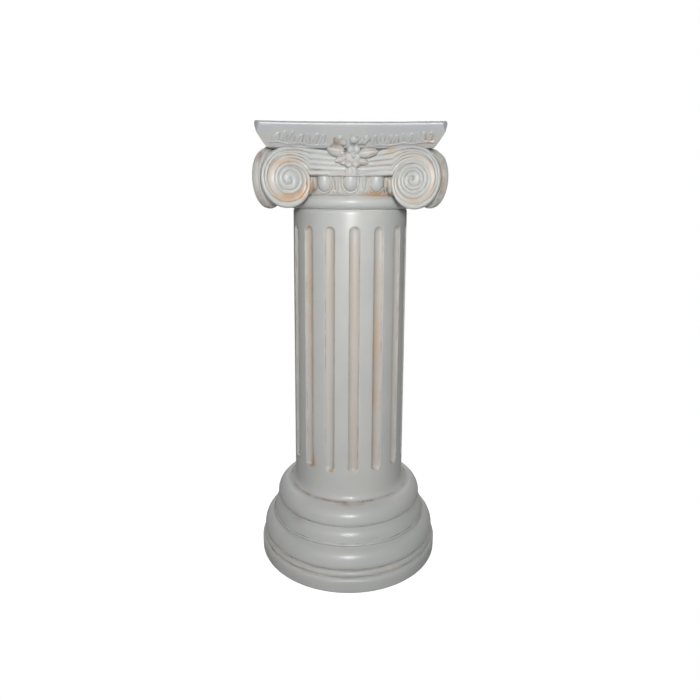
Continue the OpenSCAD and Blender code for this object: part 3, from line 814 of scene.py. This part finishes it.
def flower_surface(s):
    """The flower over the middle of a side: two wings, a bud, a pair of bulbs, two broad leaves,
    a bead, a bow and a ribbed stem that stands on the middle egg."""
    foot_z = TOP_Z - s.abacus_h
    cap_z = SEAM_Z + s.ring_h + s.echinus_h
    d = s.flower_d
    surface = Surface()
    # x, depth under the face and height over the abacus's foot of the root, then lean in degrees,
    # length, width, thickness, curl and lobes
    leaves = (
        (-5, 10, 5, -60, 33, 19, 8.0, 3.0, 2), (9, 10, 6, 60, 32, 18, 8.0, 3.0, 3),
        (-9, 7, -6, -82, 28, 19, 7.0, 0.5, 0), (12, 7, -9, 84, 31, 16, 7.0, 0.5, 0),
        (-6, 9, -13, -112, 20, 12, 6.5, -1.0, 2), (12, 9, -19, 100, 17, 11, 6.0, -1.0, 0),
        (-3, 12, 10, -20, 16, 11, 5.0, 0.5, 0), (8, 12, 12, 22, 15, 10, 5.0, 0.5, 0),
        (-3, 12, -24, -72, 19, 9, 6.0, 0.0, 0), (8, 12, -25, 70, 19, 9, 6.0, 0.0, 0),
    )
    for out, under, over, lean, long, wide, thick, curl, lobes in leaves:
        root = (out * MM, d - (under + 2) * MM, foot_z + over * MM)
        points = petal(root, np.radians(lean), long * MM, wide * MM, thick * MM, curl * MM, lobes)
        surface.add(points, wash=0.2, wrap=True, steps=2, full=0.5 * MM)
    # x, depth under the face and height over the abacus's foot of the middle, then half its width,
    # depth and height; the last one fills the flower's middle
    buds = ((5, 10, 12, 9.5, 8, 7.5), (0, 8, -2.5, 6.4, 7.5, 7.2), (9.2, 8, -2.5, 6.4, 7.5, 7.2),
            (4.5, 5, -13, 3.6, 4.2, 3.6), (-2.5, 9, -25, 6.4, 6, 4.6), (8.5, 9, -25, 6.8, 6, 4.8),
            (-17, 9, 15, 7.5, 6, 6.0), (24, 9, 15, 7.5, 6, 5.5), (-12, 7, -9, 3.0, 4, 3.0),
            (4, 13, -13, 13, 8, 12))
    for out, under, over, rx, ry, rz in buds:
        centre = (out * MM, d - under * MM, foot_z + over * MM)
        surface.add(bulb(centre, np.array([rx, ry, rz]) * MM), wrap=True, hollow=0.0)
    turn = np.linspace(0, 2 * np.pi, 120, endpoint=False)[None, :]
    up = np.linspace(0, 1, 20)[:, None]
    ribs = 1 + 0.07 * np.cos(11 * turn)
    radius = (11.8 - 3.0 * np.sin(np.pi * up * 0.8)) * MM * ribs * np.where((up > 0) & (up < 1), 1, 0)
    z = cap_z + 1 * MM + up * 17 * MM
    x = 2.5 * MM + radius * np.sin(turn)
    y = -(d - 14.5 * MM) - 0.75 * radius * np.cos(turn)
    surface.add(np.stack([x, y, z + 0 * turn], -1), wash=0.4, wrap=True, steps=3, full=0.3 * MM)
    return surface


def husk_surface(mirrored, s):
    """The leaf that fills the corner between a scroll and the eggs."""
    cap_z = SEAM_Z + s.ring_h + s.echinus_h
    surface = Surface()
    for out, lean, long, wide in ((60, 172, 27, 9), (63, 158, 30, 8), (56.5, 184, 22, 7)):
        root = (out * MM, face_distance(out * MM, s) - 4 * MM, cap_z - 0.5 * MM)
        points = petal(root, np.radians(lean), long * MM, wide * MM, 4.5 * MM, -7 * MM)
        points = to_side(points, mirrored)
        surface.add(points, wash=0.6, wrap=True, steps=3, full=0.5 * MM)
    return surface


# ------------------------------------------------------------------ finish


class Value:
    """A socket in a node tree that can be used in an expression."""

    def __init__(self, tree, source):
        self.tree = tree
        self.source = source

    def _math(self, operation, *others):
        inputs = {0: self, **dict(enumerate(others, 1))}
        return self.tree.node("ShaderNodeMath", {"operation": operation}, inputs)["Value"]

    def __add__(self, other):
        return self._math("ADD", other)

    def __radd__(self, other):
        return self._math("ADD", other)

    def __sub__(self, other):
        return self._math("SUBTRACT", other)

    def __rsub__(self, other):
        return (self * -1) + other

    def __mul__(self, other):
        return self._math("MULTIPLY", other)

    def __rmul__(self, other):
        return self._math("MULTIPLY", other)

    def between(self, low, high):
        """0 below low, 1 above high, with a soft change between them."""
        out = self.tree.node("ShaderNodeMapRange", {"interpolation_type": "SMOOTHSTEP"},
                             {"Value": self, "From Min": low, "From Max": high})
        return out["Result"]


class Outputs:
    """A node's outputs, read by name."""

    def __init__(self, tree, node):
        self.tree = tree
        self.node = node

    def __getitem__(self, name):
        return Value(self.tree, self.node.outputs[name])


class Tree:
    """A material's or world's nodes, made one by one."""

    def __init__(self, owner):
        owner.use_nodes = True
        self.tree = owner.node_tree
        self.tree.nodes.clear()

    def node(self, kind, settings=None, inputs=None):
        """Adds a node of a type, sets its settings, then the values or links of its sockets."""
        made = self.tree.nodes.new(kind)
        for name, value in (settings or {}).items():
            setattr(made, name, value)
        for name, value in (inputs or {}).items():
            if isinstance(value, Value):
                self.tree.links.new(value.source, made.inputs[name])
            else:
                made.inputs[name].default_value = value
        return Outputs(self, made)

    def mix(self, factor, first, second):
        """A colour between two colours."""
        inputs = {0: factor, 6: first, 7: second}
        made = self.node("ShaderNodeMix", {"data_type": "RGBA"}, inputs)
        return Value(self, made.node.outputs[2])


def rgba(value):
    """A colour setting with full cover."""
    return (*value, 1.0)


def glaze_material(name, look):
    """Glossy antique white: a pale clouded glaze, a warm wash in flutes and channels in long
    streaks, brown patina in the creases, which also paints shade as dark lines on the flutes' walls
    and as bands under the base's tori, painted shade that darkens and cools the glaze high on the
    capital, and a faint unevenness of the surface."""
    material = bpy.data.materials.new(name)
    tree = Tree(material)
    place = tree.node("ShaderNodeTexCoord")["Object"]
    hollow = tree.node("ShaderNodeAttribute", {"attribute_name": "hollow"})["Fac"]
    wash_at = tree.node("ShaderNodeAttribute", {"attribute_name": "wash"})["Fac"]
    orange_at = tree.node("ShaderNodeAttribute", {"attribute_name": "orange"})["Fac"]
    brown_at = tree.node("ShaderNodeAttribute", {"attribute_name": "brown"})["Fac"]
    stretched = tree.node("ShaderNodeMapping", None, {"Vector": place, "Scale": (1, 1, 0.16)})["Vector"]

    def noise(vector, scale, detail=3, roughness=0.55):
        inputs = {"Vector": vector, "Scale": scale, "Detail": detail, "Roughness": roughness}
        return tree.node("ShaderNodeTexNoise", None, inputs)["Fac"]

    clouds = noise(place, 9).between(0.4, 0.65)
    streaks = noise(stretched, 34, 4)
    blots = noise(place, 26, 4, 0.6)
    grain = noise(place, 210, 2)
    wash = wash_at * (0.35 + streaks.between(0.38, 0.62) * 0.65) * look.wash_strength
    # patina and painted shade: the crease colour goes where the hollow attribute is high, which on the column
    # also holds the painted shade of the flute walls and under the tori
    crease = hollow.between(0.05, 0.8)
    patina = crease * (0.18 + blots.between(0.42, 0.68) * 0.82) * look.patina_strength
    ochre = orange_at * (0.4 + blots.between(0.35, 0.6) * 0.6) * 0.75
    brown = brown_at * (0.4 + blots.between(0.3, 0.6) * 0.6) * 0.7
    base = tree.mix(clouds * 0.6, rgba(look.glaze), rgba(look.cool))
    up = tree.node("ShaderNodeSeparateXYZ", None, {"Vector": place})["Z"]
    # painted shade: the glaze turns darker and cooler high on the capital, over the abacus and the tops of
    # the scrolls and flowers
    high = up.between(TOP_Z - 46 * MM, TOP_Z - 26 * MM)
    base = tree.mix(high * (0.7 + clouds * 0.2), base, rgba(look.painted_shade_high))
    base = tree.mix(wash, base, rgba(look.wash))
    base = tree.mix(ochre, base, rgba(look.ochre))
    base = tree.mix(patina, base, rgba(look.patina))
    base = tree.mix(brown, base, rgba(look.patina))
    waves = noise(place, 38, 2)
    uneven = {"Strength": 0.22, "Distance": 1.2 * MM, "Height": waves * 0.8 + grain * 0.06}
    normal = tree.node("ShaderNodeBump", None, uneven)["Normal"]
    rough = (crease * 0.25) + (wash * 0.12) + (blots * 0.06) + look.gloss_roughness
    shader = tree.node("ShaderNodeBsdfPrincipled", None,
                       {"Base Color": base, "Roughness": rough, "Normal": normal, "IOR": 1.48})["BSDF"]
    tree.node("ShaderNodeOutputMaterial", None, {"Surface": shader})
    return material


def finish():
    """The glaze of column and capital, made once."""
    return bpy.data.materials.get(GLAZE) or glaze_material(GLAZE, bpy.context.scene.pedestal_look)


def build_capital_piece(surface, name, quarter=0):
    """A piece of the capital, turned to its side."""
    surface.points = [turn_about_axis(p, quarter) for p in surface.points]
    return surface.build(name, finish(), "capital", "capital_glaze")


# ------------------------------------------------------------------ operators


class PEDESTAL_OT_column(bpy.types.Operator):
    """Builds the fluted shaft and its round base"""

    bl_idname = "pedestal.column"
    bl_label = "Column"

    def execute(self, context):
        surface = column_surface(context.scene.pedestal_column)
        surface.build("fluted_column", finish(), "column", "column_glaze")
        return {"FINISHED"}


class PEDESTAL_OT_neck(bpy.types.Operator):
    """Builds the neck ring and the egg moulding"""

    bl_idname = "pedestal.neck"
    bl_label = "Neck and eggs"

    def execute(self, context):
        build_capital_piece(neck_surface(context.scene.pedestal_capital), "neck_and_eggs")
        return {"FINISHED"}


class PEDESTAL_OT_abacus(bpy.types.Operator):
    """Builds the abacus with its carved leaf rows"""

    bl_idname = "pedestal.abacus"
    bl_label = "Abacus"

    def execute(self, context):
        build_capital_piece(abacus_surface(context.scene.pedestal_capital), "abacus")
        return {"FINISHED"}


class PEDESTAL_OT_scrolls(bpy.types.Operator):
    """Builds the bands and scrolls of the four sides"""

    bl_idname = "pedestal.scrolls"
    bl_label = "Bands and scrolls"

    def execute(self, context):
        sizes = context.scene.pedestal_capital
        for quarter in range(SIDES):
            right = ribbon_surface(RIGHT_SCROLL, False, sizes)
            build_capital_piece(right, f"scroll_right_{quarter + 1}", quarter)
            left = ribbon_surface(LEFT_SCROLL, True, sizes)
            build_capital_piece(left, f"scroll_left_{quarter + 1}", quarter)
        return {"FINISHED"}


class PEDESTAL_OT_flowers(bpy.types.Operator):
    """Builds the flowers and the small leaves beside the scrolls"""

    bl_idname = "pedestal.flowers"
    bl_label = "Flowers and leaves"

    def execute(self, context):
        sizes = context.scene.pedestal_capital
        for quarter in range(SIDES):
            build_capital_piece(flower_surface(sizes), f"flower_{quarter + 1}", quarter)
            for mirrored, side in ((False, "right"), (True, "left")):
                leaf = husk_surface(mirrored, sizes)
                build_capital_piece(leaf, f"husk_{side}_{quarter + 1}", quarter)
        return {"FINISHED"}


class PEDESTAL_OT_stage(bpy.types.Operator):
    """Sets up the floor, the lights, the background and the camera"""

    bl_idname = "pedestal.stage"
    bl_label = "Stage"

    def execute(self, context):
        make_floor()
        make_world(context.scene)
        for lamp in LAMPS:
            add_lamp(*lamp)
        make_camera(context.scene)
        context.scene.view_settings.view_transform = "Standard"
        return {"FINISHED"}


def make_floor():
    """A wide pale floor. The camera sees it white away from the object, with its shadow near it."""
    mesh = bpy.data.meshes.new("floor")
    half = 6.0
    corners = [(-half, -half, 0), (half, -half, 0), (half, half, 0), (-half, half, 0)]
    mesh.from_pydata(corners, [], [(0, 1, 2, 3)])
    floor = bpy.data.objects.new("floor", mesh)
    bpy.context.scene.collection.objects.link(floor)
    paint = bpy.data.materials.new("floor_paint")
    tree = Tree(paint)
    seen = tree.node("ShaderNodeLightPath")["Is Camera Ray"]
    matt = tree.node("ShaderNodeBsdfDiffuse", None, {"Color": (0.42, 0.42, 0.42, 1)})["BSDF"]
    glow = tree.node("ShaderNodeEmission", None, {"Color": WHITE, "Strength": 0.92})["Emission"]
    both = tree.node("ShaderNodeAddShader", None, {0: matt, 1: glow})["Shader"]
    near = tree.node("ShaderNodeMixShader", None, {0: seen, 1: matt, 2: both})["Shader"]
    white = tree.node("ShaderNodeEmission", None, {"Color": WHITE, "Strength": 1.0})["Emission"]
    place = tree.node("ShaderNodeTexCoord")["Object"]
    away = tree.node("ShaderNodeVectorMath", {"operation": "LENGTH"}, {0: place})["Value"]
    far = away.between(0.2, 0.5) * seen
    ground = tree.node("ShaderNodeMixShader", None, {0: far, 1: near, 2: white})["Shader"]
    tree.node("ShaderNodeOutputMaterial", None, {"Surface": ground})
    mesh.materials.append(paint)


def make_world(scene):
    """White where the camera sees it, and a weak even light everywhere else."""
    world = bpy.data.worlds.new("studio")
    scene.world = world
    tree = Tree(world)
    seen = tree.node("ShaderNodeLightPath")["Is Camera Ray"]
    dim = tree.node("ShaderNodeBackground", None, {"Color": WHITE, "Strength": 0.10})["Background"]
    white = tree.node("ShaderNodeBackground", None, {"Color": WHITE, "Strength": 1.0})["Background"]
    both = tree.node("ShaderNodeMixShader", None, {0: seen, 1: dim, 2: white})["Shader"]
    tree.node("ShaderNodeOutputWorld", None, {"Surface": both})


def add_lamp(name, place, aim_z, size, power):
    """A square soft light that points at a height on the axis."""
    lamp = bpy.data.lights.new(name, "AREA")
    lamp.size = size
    lamp.energy = power
    holder = bpy.data.objects.new(name, lamp)
    holder.location = place
    aim = Vector((0, 0, aim_z)) - Vector(place)
    holder.rotation_euler = aim.to_track_quat("-Z", "Y").to_euler()
    bpy.context.scene.collection.objects.link(holder)


def make_camera(scene):
    """A camera at about the height of the capital's foot, pitched down, with a small yaw and roll."""
    pitch, yaw, roll = np.radians(CAMERA_TURN)
    ahead = Vector((np.sin(yaw) * np.cos(pitch), np.cos(yaw) * np.cos(pitch), -np.sin(pitch)))
    level = Vector((np.cos(yaw), -np.sin(yaw), 0))
    upright = level.cross(ahead)
    right = level * np.cos(roll) + upright * np.sin(roll)
    up = upright * np.cos(roll) - level * np.sin(roll)
    lens = bpy.data.cameras.new("camera")
    lens.lens = CAMERA_LENS
    lens.shift_x = CAMERA_SHIFT
    camera = bpy.data.objects.new("camera", lens)
    turn = Matrix((right, up, -ahead)).transposed().to_4x4()
    camera.matrix_world = Matrix.Translation(CAMERA_PLACE) @ turn
    scene.collection.objects.link(camera)
    scene.camera = camera


class PEDESTAL_PT_panel(bpy.types.Panel):
    """Lists the steps that build the pedestal and its sizes and colours"""

    bl_idname = "PEDESTAL_PT_panel"
    bl_label = "Column Pedestal"
    bl_space_type = "VIEW_3D"
    bl_region_type = "UI"
    bl_category = "Pedestal"

    def draw(self, context):
        layout = self.layout
        for operator in OPERATORS:
            layout.operator(operator.bl_idname)
        scene = context.scene
        for group in (scene.pedestal_column, scene.pedestal_capital, scene.pedestal_look):
            box = layout.box()
            for name in group.__annotations__:
                box.prop(group, name)


OPERATORS = (PEDESTAL_OT_column, PEDESTAL_OT_neck, PEDESTAL_OT_abacus, PEDESTAL_OT_scrolls,
             PEDESTAL_OT_flowers, PEDESTAL_OT_stage)
CLASSES = (ColumnSizes, CapitalSizes, GlazeLook, *OPERATORS, PEDESTAL_PT_panel)


def register():
    for item in CLASSES:
        bpy.utils.register_class(item)
    bpy.types.Scene.pedestal_column = PointerProperty(type=ColumnSizes)
    bpy.types.Scene.pedestal_capital = PointerProperty(type=CapitalSizes)
    bpy.types.Scene.pedestal_look = PointerProperty(type=GlazeLook)


def unregister():
    del bpy.types.Scene.pedestal_look
    del bpy.types.Scene.pedestal_capital
    del bpy.types.Scene.pedestal_column
    for item in reversed(CLASSES):
        bpy.utils.unregister_class(item)


def main():
    """Builds the pieces and the stage."""
    register()
    bpy.ops.pedestal.column()
    bpy.ops.pedestal.neck()
    bpy.ops.pedestal.abacus()
    bpy.ops.pedestal.scrolls()
    bpy.ops.pedestal.flowers()
    bpy.ops.pedestal.stage()


if __name__ == "__main__":
    main()
